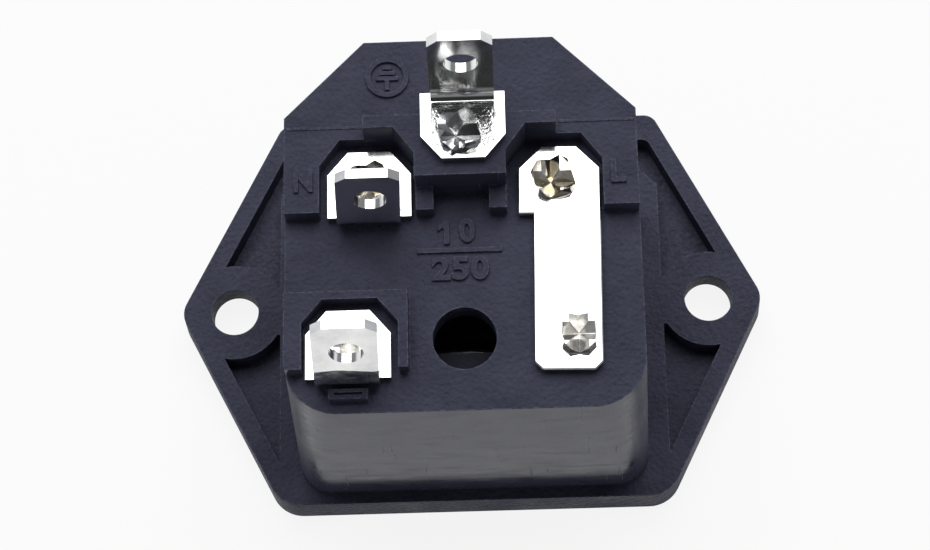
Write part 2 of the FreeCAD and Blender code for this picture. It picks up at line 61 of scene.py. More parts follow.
def scaled_size(name, share):
    """Node group that scales a piece about the origin."""
    group, start, end = geometry_group(name)
    size = group.nodes.new("GeometryNodeTransform")
    size.inputs["Scale"].default_value = (share, share, share)
    group.links.new(start.outputs[0], size.inputs["Geometry"])
    group.links.new(size.outputs[0], end.inputs[0])
    return group


def smooth_shading():
    """Node group that shades a piece smooth, apart from its sharp edges."""
    group, start, end = geometry_group("smooth_shading")
    plain = group.nodes.new("GeometryNodeRemoveAttribute")
    plain.inputs["Name"].default_value = "custom_normal"
    faces = group.nodes.new("GeometryNodeSetShadeSmooth")
    edges = group.nodes.new("GeometryNodeSetShadeSmooth")
    edges.domain = "EDGE"
    fold = group.nodes.new("GeometryNodeInputMeshEdgeAngle")
    blunt = group.nodes.new("FunctionNodeCompare")
    blunt.operation = "LESS_THAN"
    blunt.inputs["B"].default_value = SHARP_FOLD
    group.links.new(start.outputs[0], plain.inputs["Geometry"])
    group.links.new(plain.outputs[0], faces.inputs["Geometry"])
    group.links.new(faces.outputs[0], edges.inputs["Geometry"])
    group.links.new(fold.outputs["Unsigned Angle"], blunt.inputs["A"])
    group.links.new(blunt.outputs[0], edges.inputs["Shade Smooth"])
    group.links.new(edges.outputs[0], end.inputs[0])
    return group


soft_shade = smooth_shading()
enlarged = scaled_size("enlarged", NORMALS_SCALE)
true_size = scaled_size("true_size", 1 / NORMALS_SCALE)


def soften_edges(piece, width, rounds=2):
    """Small radius that moulding or tumbling leaves on every sharp edge of a CAD piece."""
    weld = piece.modifiers.new("weld", "WELD")
    weld.merge_threshold = WELD_REACH
    flat = piece.modifiers.new("flat_faces", "DECIMATE")
    flat.decimate_type = "DISSOLVE"
    flat.angle_limit = FLAT_FOLD
    edge = piece.modifiers.new("edge_radius", "BEVEL")
    edge.width = width
    edge.segments = rounds
    edge.limit_method = "ANGLE"
    edge.angle_limit = EDGE_FOLD
    edge.use_clamp_overlap = True
    piece.modifiers.new("shading", "NODES").node_group = soft_shade
    piece.modifiers.new("enlarged", "NODES").node_group = enlarged
    even = piece.modifiers.new("even_shading", "WEIGHTED_NORMAL")
    even.mode = "FACE_AREA"
    even.weight = WIDE_FACE_WEIGHT
    even.keep_sharp = True
    piece.modifiers.new("true_size", "NODES").node_group = true_size


class Palette:
    """Short words for the nodes that mix a finish, or the light of the room."""

    def __init__(self, tree):
        self.tree = tree
        tree.nodes.clear()

    def plug(self, socket, value):
        """Links a socket to the output of another node, or sets its value."""
        if isinstance(value, bpy.types.NodeSocket):
            self.tree.links.new(value, socket)
        else:
            socket.default_value = value

    def add(self, kind, sockets=None, **settings):
        """New node of a kind, with its settings made and its sockets filled."""
        made = self.tree.nodes.new("ShaderNode" + kind)
        for key, value in settings.items():
            setattr(made, key, value)
        for key, value in (sockets or {}).items():
            self.plug(made.inputs[key], value)
        return made

    def reckon(self, operation, *values):
        """Arithmetic on numbers."""
        return self.add("Math", dict(enumerate(values)), operation=operation).outputs[0]

    def times(self, one, other):
        """Product of two numbers."""
        return self.reckon("MULTIPLY", one, other)

    def plus(self, one, other):
        """Sum of two numbers."""
        return self.reckon("ADD", one, other)

    def larger(self, one, other):
        """The larger of two numbers."""
        return self.reckon("MAXIMUM", one, other)

    def spread(self, value, low, high, to_low=0.0, to_high=1.0):
        """Stretches the span from low to high over another one, and stops at its ends."""
        return self.add("MapRange", {"Value": value, "From Min": low, "From Max": high,
                                     "To Min": to_low, "To Max": to_high}).outputs[0]

    def split(self, vector):
        """X, Y and Z of a vector."""
        return self.add("SeparateXYZ", {"Vector": vector}).outputs

    def step(self, operation, one, other):
        """Sum or difference of two vectors."""
        return self.add("VectorMath", {0: one, 1: other}, operation=operation).outputs[0]

    def along(self, one, other):
        """How far one vector runs along another."""
        return self.add("VectorMath", {0: one, 1: other}, operation="DOT_PRODUCT").outputs["Value"]

    def mix(self, share, one, other):
        """Blend from one value or colour to another."""
        return self.add("MixRGB", {"Fac": share, "Color1": one, "Color2": other}).outputs[0]


class Finish(Palette):
    """Material with its surface shader, and textures that lie fixed in the piece."""

    def __init__(self, name):
        self.material = bpy.data.materials.new(name)
        self.material.use_nodes = True
        super().__init__(self.material.node_tree)
        self.shader = self.add("BsdfPrincipled")
        self.add("OutputMaterial", {"Surface": self.shader.outputs[0]})
        self.place = self.add("TexCoord").outputs["Object"]
        self.surface = None

    def give(self, socket, value):
        """Fills one socket of the surface shader."""
        self.plug(self.shader.inputs[socket], value)

    def noise(self, per_metre, detail=2, rough=0.5):
        """Even cloudy noise."""
        return self.add("TexNoise", {"Vector": self.place, "Scale": per_metre, "Detail": detail,
                                     "Roughness": rough}).outputs["Fac"]

    def streaks(self, per_metre, detail=2, rough=0.5, turn=(0, 0, 0)):
        """Noise stretched differently along X, Y and Z."""
        lie = self.add("Mapping", {"Vector": self.place, "Rotation": turn, "Scale": per_metre}).outputs[0]
        return self.add("TexNoise", {"Vector": lie, "Scale": 1, "Detail": detail,
                                     "Roughness": rough}).outputs["Fac"]

    def emboss(self, height, depth, strength=1.0):
        """Relief on top of the relief that the finish has so far."""
        sockets = {"Height": height, "Strength": strength, "Distance": depth}
        if self.surface is not None:
            sockets["Normal"] = self.surface
        self.surface = self.add("Bump", sockets).outputs[0]
        self.give("Normal", self.surface)


def dress(node_name, finish):
    """Puts a finish on a CAD piece."""
    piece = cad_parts[node_name]
    for place in piece.material_slots:
        place.link = "OBJECT"
        place.material = finish
    return piece


HOUSING_DARK = (0.0445, 0.0460, 0.0725, 1)
HOUSING_PALE = (0.0655, 0.0678, 0.1030, 1)
# Pale grey of wear and scratches, also used for the painted edge highlights and the painted lamp light.
WORN_AND_LIT_GREY = (0.100, 0.105, 0.145, 1)
HOUSING_FACE_ROUGH = 0.53
HOUSING_WALL_ROUGH = 0.18
HOUSING_GLOSS = 1.20
HOUSING_GRAIN = 0.16 * MM
FLANGE_THICKNESS = 3.4 * MM
FLANGE_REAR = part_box("housing")[0].z + FLANGE_THICKNESS
FLANGE_BLEND = 0.1 * MM
FLAT_FACING = (0.55, 0.90)
OFF_FUSE_SIDE = (-0.85, -0.60)

# Grain and pits of the eroded mould face, and the marks that sliding out leaves on the walls.
GRAIN_PER_METRE = 2900
PITS_PER_METRE = 0.9 * GRAIN_PER_METRE
PIT_DEPTH = 0.6
GRAIN_SPAN = (0.30, 0.70)
GRAIN_SHINES = 0.08
GRAIN_DULLS = 0.07
RELIEF_STRENGTH = 0.9
DRAWN_PER_METRE = (1900, 1900, 110)
DRAWN_DEPTH = 0.03
SMEARS_PER_METRE = (260, 260, 900)
SMEAR_DEPTH = 0.035
SMEAR_SPAN = (0.36, 0.66)
SMEAR_DARKENS = (0.15, 0.60)
SMEAR_SHINES = 0.06
SMEAR_DULLS = 0.10
SCORES_PER_METRE = (3800, 300, 240)
SCORE_TURN = (0, 0.9, 0)
SCRATCH_SPAN = (0.70, 0.74)
SCRATCH_DEPTH = 0.08
SCRATCH_SHARE = 0.8
SCRATCH_DULLS = 0.15

# Cloudy colour of the plastic, its paler edges (worn, with a painted highlight), specks, and dust that
# paints lamp light.
CLOUDS_PER_METRE = 230
CLOUD_SPAN = (0.36, 0.66)
CLOUD_SHINES = 0.06
CLOUD_DULLS = 0.10
SHINE_SPAN = (0.35, 0.65)
EDGE_PALER = 1.8
EDGE_REACH = 0.22 * MM
EDGE_ROUNDING = (0.985, 0.88)
EDGE_STANDS_OUT = (0.50, 0.53)
EDGE_SHARE = 0.8
EDGE_WEAR_AND_HIGHLIGHT_PER_METRE = 3400
EDGE_WEAR_AND_HIGHLIGHT_SPAN = (0.42, 0.62)
# Dust that also paints the lamp's light: full behind the body, none at the front, where the body's shade
# falls.
DUST_AND_LAMP_LIGHT_PER_METRE = 2600
DUST_AND_LAMP_LIGHT_SPAN = (0.42, 0.68)
DUST_AND_LAMP_LIGHT_ALONG_Y = (-9 * MM, -3 * MM)
DUST_AND_LAMP_LIGHT_ON_BODY = 0.05
DUST_AND_LAMP_LIGHT_ON_FLANGE = 0.50
SPECKS_PER_METRE = 5200
SPECK_SPAN = (0.72, 0.76)
SPECK_SHARE = 0.6


def moulded_plastic(name, dark, pale, rubbed_and_lit_grey, face_rough, wall_rough, gloss, grain_depth):
    """Black moulded plastic: eroded grain, rubbed walls, painted edge highlights and painted lamp light on
    flats.
    """
    coat = Finish(name)
    where = coat.split(coat.place)
    shape = coat.add("NewGeometry").outputs
    turned = coat.split(shape["Normal"])
    flat = coat.spread(coat.reckon("ABSOLUTE", turned["Z"]), *FLAT_FACING)
    low = coat.spread(where["Z"], FLANGE_REAR + FLANGE_BLEND, FLANGE_REAR - FLANGE_BLEND)
    eroded = coat.larger(flat, low)

    grain = coat.noise(GRAIN_PER_METRE, detail=5, rough=0.65)
    pits = coat.add("TexVoronoi", {"Vector": coat.place, "Scale": PITS_PER_METRE}).outputs["Distance"]
    smear = coat.streaks(SMEARS_PER_METRE, detail=5, rough=0.65)
    drawn = coat.streaks(DRAWN_PER_METRE, detail=4, rough=0.55)
    scratch = coat.spread(coat.streaks(SCORES_PER_METRE, turn=SCORE_TURN), *SCRATCH_SPAN)
    pitted = coat.plus(grain, coat.times(pits, PIT_DEPTH))
    scraped = coat.plus(coat.times(smear, SMEAR_DEPTH), coat.times(scratch, SCRATCH_DEPTH))
    rubbed = coat.plus(coat.times(drawn, DRAWN_DEPTH), scraped)
    coat.emboss(coat.mix(eroded, rubbed, pitted), grain_depth, RELIEF_STRENGTH)

    cloud = coat.noise(CLOUDS_PER_METRE, detail=6, rough=0.6)
    shade = coat.mix(coat.spread(cloud, *CLOUD_SPAN), dark, pale)
    # Paler edges: partly real wear, partly a painted highlight along every edge.
    rounded = coat.add("Bevel", {"Radius": EDGE_REACH}, samples=6).outputs[0]
    level = coat.along(rounded, shape["True Normal"])
    edge = coat.times(coat.spread(level, *EDGE_ROUNDING),
                      coat.spread(shape["Pointiness"], *EDGE_STANDS_OUT))
    worn = coat.times(edge, coat.spread(coat.noise(EDGE_WEAR_AND_HIGHLIGHT_PER_METRE, detail=4, rough=0.6), *EDGE_WEAR_AND_HIGHLIGHT_SPAN))
    edge_wear_and_highlight_grey = tuple(EDGE_PALER * part for part in rubbed_and_lit_grey[:3]) + (1,)
    shade = coat.mix(coat.times(worn, EDGE_SHARE), shade, edge_wear_and_highlight_grey)
    # Paler dust on flat faces, mostly on the flange, fading out towards the front: painted lamp light at
    # the back, painted shade at the front.
    lamp_side_flats = coat.times(flat, coat.spread(where["Y"], *DUST_AND_LAMP_LIGHT_ALONG_Y))
    dust = coat.times(lamp_side_flats, coat.spread(coat.noise(DUST_AND_LAMP_LIGHT_PER_METRE, detail=4, rough=0.7), *DUST_AND_LAMP_LIGHT_SPAN))
    dust_and_lamp_light_share = coat.times(dust, coat.spread(low, 0, 1, DUST_AND_LAMP_LIGHT_ON_BODY, DUST_AND_LAMP_LIGHT_ON_FLANGE))
    shade = coat.mix(dust_and_lamp_light_share, shade, rubbed_and_lit_grey)
    specks = coat.spread(coat.noise(SPECKS_PER_METRE, rough=0.6), *SPECK_SPAN)
    shade = coat.mix(coat.times(specks, SPECK_SHARE), shade, rubbed_and_lit_grey)
    slid = coat.mix(coat.spread(smear, *SMEAR_SPAN, *SMEAR_DARKENS), shade, dark)
    slid = coat.mix(coat.times(scratch, SCRATCH_SHARE), slid, rubbed_and_lit_grey)
    coat.give("Base Color", coat.mix(eroded, slid, shade))

    grain_rough = coat.spread(grain, *GRAIN_SPAN, face_rough - GRAIN_SHINES, face_rough + GRAIN_DULLS)
    eroded_rough = coat.plus(grain_rough, coat.spread(cloud, *SHINE_SPAN, -CLOUD_SHINES, CLOUD_DULLS))
    smear_rough = coat.spread(smear, *SHINE_SPAN, wall_rough - SMEAR_SHINES, wall_rough + SMEAR_DULLS)
    slid_rough = coat.plus(smear_rough, coat.times(scratch, SCRATCH_DULLS))
    slid_rough = coat.mix(coat.spread(turned["Y"], *OFF_FUSE_SIDE), slid_rough, eroded_rough)
    coat.give("Roughness", coat.mix(eroded, slid_rough, eroded_rough))
    coat.give("IOR", gloss)
    return coat.material


housing_plastic = moulded_plastic("housing_nylon", HOUSING_DARK, HOUSING_PALE, WORN_AND_LIT_GREY,
                                  HOUSING_FACE_ROUGH, HOUSING_WALL_ROUGH, HOUSING_GLOSS, HOUSING_GRAIN)
soften_edges(dress("housing", housing_plastic), HOUSING_EDGE)

# Raised marks on the rear: the letters and the earth sign that say which pin is which, and two
# plain numbers over and under a bar. The mould has them cut into it, so they stand a little
# proud of the moulded face and are the same plastic.
MARK_RISE = 0.24 * MM
MARK_SINK = 0.10 * MM
MARK_ROUND = 0.06 * MM
MARK_ROUNDS = 2
MARK_BOLD = 0.045 * MM
MOULD_LINE_SINK = 0.15 * MM
MAIN_FACE = 24.6 * MM
WALL_TOP = 26.1 * MM
CAPITAL_SHARE = 0.73
LETTER_SPACE = 1.08


def finish_mark(name, curve, face_z, x=0.0, y=0.0, squeeze=1.0):
    """Turns a flat curve into a raised mesh on a rear face, at x, y in millimetres."""
    curve.extrude = (MARK_RISE + MARK_SINK) / 2 - MARK_ROUND
    curve.bevel_depth = MARK_ROUND
    curve.bevel_resolution = MARK_ROUNDS
    flat = bpy.data.objects.new(name + "_outline", curve)
    bpy.context.collection.objects.link(flat)
    bpy.context.view_layer.update()
    mesh = bpy.data.meshes.new_from_object(flat)
    bpy.data.objects.remove(flat)
    middle = face_z + (MARK_RISE - MARK_SINK) / 2
    mesh.transform(Matrix.Translation((x * MM, y * MM, middle)) @ Matrix.Diagonal((squeeze, 1, 1, 1)))
    mesh.materials.clear()
    mesh.materials.append(housing_plastic)
    mark = bpy.data.objects.new(name, mesh)
    bpy.context.collection.objects.link(mark)
    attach(mark, "inlet")


def raise_outline(name, loops, face_z):
    """Raised strokes from closed outlines in millimetres."""
    curve = bpy.data.curves.new(name, "CURVE")
    curve.dimensions = "2D"
    curve.fill_mode = "BOTH"
    for loop in loops:
        spline = curve.splines.new("POLY")
        spline.points.add(len(loop) - 1)
        for point, (x, y) in zip(spline.points, loop):
            point.co = (x * MM, y * MM, 0, 1)
        spline.use_cyclic_u = True
    finish_mark(name, curve, face_z)


def raise_text(name, words, x, y, height, face_z, squeeze=1.0):
    """Raised figures or letters, with their middle at x, y in millimetres."""
    curve = bpy.data.curves.new(name, "FONT")
    curve.body = words
    curve.align_x = "CENTER"
    curve.align_y = "CENTER"
    curve.size = height * MM / CAPITAL_SHARE
    curve.space_character = LETTER_SPACE
    curve.offset = MARK_BOLD
    finish_mark(name, curve, face_z, x, y, squeeze)


def bar(x0, y0, x1, y1, width):
    """Corners of a straight stroke."""
    side = Vector((y0 - y1, x1 - x0)).normalized() * width / 2
    return [(x0 + side.x, y0 + side.y), (x0 - side.x, y0 - side.y),
            (x1 - side.x, y1 - side.y), (x1 + side.x, y1 + side.y)]


def circle(x, y, radius, count=48):
    """Points round a circle."""
    turns = [2 * math.pi * i / count for i in range(count)]
    return [(x + radius * math.cos(t), y + radius * math.sin(t)) for t in turns]


def figure_one(x, y, height, width):
    """Outline of a figure one with a slanted flag."""
    low = y - height / 2
    high = y + height / 2
    tip = 0.2 * width
    flag = 1.6 * width
    flag_foot = 2.4 * width
    flag_root = 1.3 * width
    return [(x, low), (x + width, low), (x + width, high), (x + tip, high),
            (x - flag, high - flag), (x - flag, high - flag_foot), (x, high - flag_root)]


# Places and strokes of the marks, in millimetres.
MARK_HEIGHT = 1.8
STROKE = 0.30
NEUTRAL_MARK = (-11.95, 2.65)
NEUTRAL_SQUEEZE = 0.82
LINE_MARK = (11.85, 2.70)
LINE_SQUEEZE = 0.95
UPPER_ROW = -1.22
BAR_ROW = -2.67
LOWER_ROW = -4.22
ONE_X = -1.35
NOUGHT_X = 0.35
NOUGHT_SQUEEZE = 0.95
LOWER_X = -0.2
LOWER_SQUEEZE = 1.1
BAR_LEFT = -3.4
BAR_RIGHT = 2.9
BAR_STROKE = 0.26
EARTH_X = -5.5
EARTH_Y = 11.06
EARTH_R = 1.62
EARTH_STROKE = 0.22
EARTH_BARS = ((0.8, -0.1), (0.55, 0.35), (0.28, 0.8))
EARTH_STEM = (-0.2, -1.0)
MOULD_LINE_Y = 7.03
MOULD_LINE_INNER = 7.6
MOULD_LINE_OUTER = 13.2
MOULD_LINE_STROKE = 0.12

raise_text("mark_neutral", "N", *NEUTRAL_MARK, MARK_HEIGHT, WALL_TOP, NEUTRAL_SQUEEZE)
raise_text("mark_line", "L", *LINE_MARK, MARK_HEIGHT, WALL_TOP, LINE_SQUEEZE)
raise_outline("mark_number_one", [figure_one(ONE_X, UPPER_ROW, MARK_HEIGHT, STROKE)], MAIN_FACE)
raise_text("mark_number_nought", "0", NOUGHT_X, UPPER_ROW, MARK_HEIGHT, MAIN_FACE, NOUGHT_SQUEEZE)
raise_text("mark_number_lower", "250", LOWER_X, LOWER_ROW, MARK_HEIGHT, MAIN_FACE, LOWER_SQUEEZE)
raise_outline("mark_bar", [bar(BAR_LEFT, BAR_ROW, BAR_RIGHT, BAR_ROW, BAR_STROKE)], MAIN_FACE)
raise_outline("mark_earth_ring", [circle(EARTH_X, EARTH_Y, EARTH_R),
                                  circle(EARTH_X, EARTH_Y, EARTH_R - STROKE)], WALL_TOP)
for number, (half, lift) in enumerate(EARTH_BARS):
    row = EARTH_Y + lift
    raise_outline("mark_earth_bar_%d" % number,
                  [bar(EARTH_X - half, row, EARTH_X + half, row, EARTH_STROKE)], WALL_TOP)
stem_top, stem_foot = (EARTH_Y + lift for lift in EARTH_STEM)
raise_outline("mark_earth_stem", [bar(EARTH_X, stem_top, EARTH_X, stem_foot, EARTH_STROKE)], WALL_TOP)
for name, side in (("mould_line_left", -1), ("mould_line_right", 1)):
    raise_outline(name, [bar(side * MOULD_LINE_INNER, MOULD_LINE_Y, side * MOULD_LINE_OUTER, MOULD_LINE_Y,
                             MOULD_LINE_STROKE)], WALL_TOP - MOULD_LINE_SINK)

# Contact pins: brass, plated bright with nickel, pressed through the housing from the front.
# Their rear ends are staked over the terminals by a cross punch, which breaks the plating, so
# the brass shows on the worked facets.
PLATE_WHITE = (0.86, 0.86, 0.85, 1)
PLATE_GREY = (0.70, 0.70, 0.70, 1)
BRASS = (0.60, 0.55, 0.45, 1)
STAKE_GREY = (0.56, 0.56, 0.57, 1)
PIN_EDGE = 0.06 * MM
PIN_ROUGH = 0.18
TARNISH_PER_METRE = 420
TARNISH_SPAN = (0.38, 0.68)
TARNISH_SHINE_SPAN = (0.30, 0.70)
TARNISH_SHINES = 0.6
TARNISH_DULLS = 1.5
RUBS = ((0.5, (5200, 260, 900)), (-0.7, (300, 4300, 900)))
DENTS_PER_METRE = 900
DENT_DEPTH = 0.8
RUB_STRENGTH = 0.35


def rubbed_metal(name, rough, scratch_depth):
    """Bright metal with fine rub marks in two directions and a cloudy shine, and its clouds."""
    coat = Finish(name)
    tarnish = coat.noise(TARNISH_PER_METRE, detail=6, rough=0.62)
    rub_one, rub_other = [coat.streaks(per_metre, detail=3, rough=0.6, turn=(0, 0, turn))
                          for turn, per_metre in RUBS]
    dents = coat.times(coat.noise(DENTS_PER_METRE), DENT_DEPTH)
    coat.emboss(coat.plus(coat.times(rub_one, rub_other), dents), scratch_depth, RUB_STRENGTH)
    coat.give("Metallic", 1.0)
    coat.give("Roughness", coat.spread(tarnish, *TARNISH_SHINE_SPAN,
                                       rough * TARNISH_SHINES, rough * TARNISH_DULLS))
    return coat, tarnish


def plated_metal(name, pale, grey, rough, scratch_depth):
    """Plated metal that is greyer where it is tarnished."""
    coat, tarnish = rubbed_metal(name, rough, scratch_depth)
    coat.give("Base Color", coat.mix(coat.spread(tarnish, *TARNISH_SPAN), pale, grey))
    return coat


STAKE_FOOT = MAIN_FACE + 0.9 * MM
STAKE_BLEND = 0.05 * MM
STAKE_SCRATCH = 0.012 * MM
FACETS_PER_METRE = 650
FACET_TILT = 0.55
NEUTRAL_FACET_TILT = 0.95
NEUTRAL_FACET_SHIFT = (0.9 * MM, 0.4 * MM, 0)
MIDDLE_GREY = (0.5, 0.5, 0.5)
BARE_PER_METRE = 1300
BARE_SPAN = (0.30, 0.52)


def staked_metal(name, pale, bare, rough, facet_tilt, facet_shift=(0, 0, 0)):
    """Plated metal whose staked end is crushed into small facets and worn through to the bare metal."""
    coat = rubbed_metal(name, rough, STAKE_SCRATCH)[0]
    height = coat.split(coat.place)["Z"]
    staked = coat.spread(height, STAKE_FOOT - STAKE_BLEND, STAKE_FOOT + STAKE_BLEND)
    shifted = coat.step("ADD", coat.place, facet_shift)
    cells = coat.add("TexVoronoi", {"Vector": shifted, "Scale": FACETS_PER_METRE}).outputs
    tilt = coat.step("SUBTRACT", cells["Color"], MIDDLE_GREY)
    offset = coat.step("SUBTRACT", shifted, cells["Position"])
    coat.emboss(coat.times(coat.along(tilt, offset), staked), facet_tilt)
    patch = coat.spread(coat.noise(BARE_PER_METRE, detail=3), *BARE_SPAN)
    coat.give("Base Color", coat.mix(coat.times(staked, patch), pale, bare))
    return coat.material


pin_nickel = staked_metal("pin_nickel", PLATE_WHITE, BRASS, PIN_ROUGH, FACET_TILT)
earth_nickel = staked_metal("earth_nickel", PLATE_WHITE, STAKE_GREY, PIN_ROUGH, FACET_TILT)
neutral_nickel = staked_metal("neutral_nickel", PLATE_WHITE, BRASS, PIN_ROUGH,
                              NEUTRAL_FACET_TILT, NEUTRAL_FACET_SHIFT)
for pin, nickel in (("earth_pin", earth_nickel), ("neutral_pin", neutral_nickel), ("line_pin", pin_nickel)):
    soften_edges(dress(pin, nickel), PIN_EDGE)

# Solder terminals: brass sheet, stamped, bent up and tin plated. Each one lies in its pocket
# under the staked end of its pin or rivet, and its tab is pierced for a wire.
TERMINAL_EDGE = 0.13 * MM
SHEET_ROUNDS = 3
TIN_ROUGH = 0.16
TIN_SCRATCH = 0.010 * MM
BOW_FOOT = MAIN_FACE + 0.5 * MM
BOW_END = MAIN_FACE + 3.75 * MM
BOW_SLOPE = 0.20
BOW_WAVER = 0.7 * MM
WAVERS_PER_METRE = 420
COIN_ROUGH = 0.13
COIN_TOP = 29.17 * MM
COIN_BLEND = 0.02 * MM
COIN_GRAIN = 0.038 * MM
PEBBLES_PER_METRE = 4200


def bowed_tin():
    """Tin on a tab that bows a little where it leaves its bend."""
    coat = plated_metal("bowed_tin", PLATE_WHITE, PLATE_GREY, TIN_ROUGH, TIN_SCRATCH)
    height = coat.split(coat.place)["Z"]
    lifted = coat.reckon("MULTIPLY_ADD", coat.noise(WAVERS_PER_METRE), BOW_WAVER, height)
    bow = coat.spread(lifted, BOW_FOOT, BOW_END, 0.0, BOW_SLOPE * (BOW_END - BOW_FOOT))
    coat.emboss(bow, depth=1.0)
    return coat.material


def coined_tin():
    """Tin with the pebbled floor that the coining punch leaves in the earth plate's hollow."""
    coat = plated_metal("coined_tin", PLATE_WHITE, PLATE_GREY, COIN_ROUGH, TIN_SCRATCH)
    height = coat.split(coat.place)["Z"]
    floor = coat.spread(height, COIN_TOP + COIN_BLEND, COIN_TOP)
    coat.emboss(coat.times(floor, coat.noise(PEBBLES_PER_METRE, detail=3)), COIN_GRAIN)
    return coat.material


terminal_tin = plated_metal("terminal_tin", PLATE_WHITE, PLATE_GREY, TIN_ROUGH, TIN_SCRATCH).material
for terminal, tin in (("earth_terminal", coined_tin()), ("neutral_terminal", terminal_tin),
                      ("output_terminal", bowed_tin())):
    soften_edges(dress(terminal, tin), TERMINAL_EDGE, SHEET_ROUNDS)

# Link strap: flat stamping of the same plated sheet, which carries the line pin's current to
# the fuse. It is held by the staked pin at its head and by a staked rivet near its foot.
STRAP_EDGE = 0.12 * MM
STRAP_ROUGH = 0.10
STRAP_SCRATCH = 0.008 * MM
strap_tin = plated_metal("strap_tin", PLATE_WHITE, PLATE_GREY, STRAP_ROUGH, STRAP_SCRATCH).material
soften_edges(dress("line_strap", strap_tin), STRAP_EDGE, SHEET_ROUNDS)

# Fuse clips and their rivets: clips of sprung bronze in the drawer bay, each held to the rear
# wall by a solid brass rivet that is staked over the metal behind it.
CLIP_EDGE = 0.05 * MM
CLIP_PALE = (0.80, 0.77, 0.70, 1)
CLIP_GREY = (0.62, 0.58, 0.50, 1)
CLIP_ROUGH = 0.16
CLIP_SCRATCH = 0.010 * MM
RIVET_WORN = (0.74, 0.72, 0.68, 1)
RIVET_ROUGH = 0.34
RIVET_FACET_TILT = 0.30
clip_bronze = plated_metal("clip_bronze", CLIP_PALE, CLIP_GREY, CLIP_ROUGH, CLIP_SCRATCH).material
rivet_brass = staked_metal("rivet_brass", PLATE_WHITE, RIVET_WORN, RIVET_ROUGH, RIVET_FACET_TILT)
for end in ("output", "line"):
    soften_edges(dress("fuse_clip_" + end, clip_bronze), CLIP_EDGE)
    soften_edges(dress("clip_rivet_" + end, rivet_brass), CLIP_EDGE)

# Fuse drawer: tray moulded in black nylon, which slides into the bay from the front. The fuse
# in use lies in its cradle and a spare lies behind its front.
DRAWER_EDGE = 0.08 * MM
# Painted shade: the drawer's colours are darker than the housing's nylon, so the bay seen through the view
# hole stays dark.
DRAWER_SHADED_DARK = (0.0110, 0.0114, 0.0190, 1)
DRAWER_SHADED_PALE = (0.0175, 0.0181, 0.0285, 1)
DRAWER_SHADED_WORN = (0.0280, 0.0290, 0.0420, 1)
DRAWER_FACE_ROUGH = 0.75
DRAWER_WALL_ROUGH = 0.50
DRAWER_GLOSS = 1.25
DRAWER_GRAIN = 0.06 * MM
drawer_plastic = moulded_plastic("drawer_nylon", DRAWER_SHADED_DARK, DRAWER_SHADED_PALE, DRAWER_SHADED_WORN,
                                 DRAWER_FACE_ROUGH, DRAWER_WALL_ROUGH, DRAWER_GLOSS, DRAWER_GRAIN)
soften_edges(dress("fuse_drawer", drawer_plastic), DRAWER_EDGE)

# Fuses: cartridge fuses, each a glass tube with two plated brass caps on its ends and a thin
# fuse wire soldered into the caps. They lie loose in the drawer.
CAP_EDGE = 0.12 * MM
CAP_PALE = (0.82, 0.80, 0.76, 1)
CAP_GREY = (0.66, 0.63, 0.58, 1)
CAP_ROUGH = 0.14
CAP_SCRATCH = 0.006 * MM
WIRE_PALE = (0.72, 0.68, 0.62, 1)
WIRE_GREY = (0.48, 0.44, 0.38, 1)
WIRE_ROUGH = 0.25
WIRE_SCRATCH = 0.004 * MM
GLASS_TINT = (0.93, 0.96, 0.95, 1)
GLASS_GLOSS = 1.25
GLASS_ROUGH = (0.03, 0.15)
GLASS_DUST_PER_METRE = 2400
GLASS_DUST_SPAN = (0.45, 0.75)
DRAW_LINES_PER_METRE = (60, 1800, 1800)
DRAW_LINE_STRENGTH = 0.12
DRAW_LINE_DEPTH = 0.01 * MM


def fuse_glass_finish():
    """Clear drawn glass with faint dust and draw lines."""
    coat = Finish("fuse_tube_glass")
    coat.give("Base Color", GLASS_TINT)
    coat.give("Transmission Weight", 1.0)
    coat.give("IOR", GLASS_GLOSS)
    dust = coat.noise(GLASS_DUST_PER_METRE, detail=4)
    coat.give("Roughness", coat.spread(dust, *GLASS_DUST_SPAN, *GLASS_ROUGH))
    coat.emboss(coat.streaks(DRAW_LINES_PER_METRE, detail=3), DRAW_LINE_DEPTH, DRAW_LINE_STRENGTH)
    return coat.material


cap_nickel = plated_metal("cap_nickel", CAP_PALE, CAP_GREY, CAP_ROUGH, CAP_SCRATCH).material
wire_tin = plated_metal("wire_tin", WIRE_PALE, WIRE_GREY, WIRE_ROUGH, WIRE_SCRATCH).material
fuse_tube_glass = fuse_glass_finish()
for fuse in ("fuse", "spare_fuse"):
    dress(fuse + "_glass", fuse_tube_glass)
    dress(fuse + "_wire", wire_tin)
    for side in ("left", "right"):
        soften_edges(dress(fuse + "_cap_" + side, cap_nickel), CAP_EDGE)

# Studio table: a wide white light table for the part to lie on, open under the drawer and the
# socket so that the drawer has room to slide out.
FLOOR_REACH = 2.5
FLOOR_DROP = 0.02 * MM
OPENING_HALF_X = 13.0 * MM
OPENING_HALF_Y = 15.0 * MM
PAPER_WHITE = (0.86, 0.86, 0.87, 1)
TABLE_WHITE = (0.11, 0.11, 0.11, 1)
TABLE_GLOW = 0.88


def rectangle(half_x, half_y):
    """Corners of a rectangle about the origin."""
    return [(half_x, half_y), (-half_x, half_y), (-half_x, -half_y), (half_x, -half_y)]


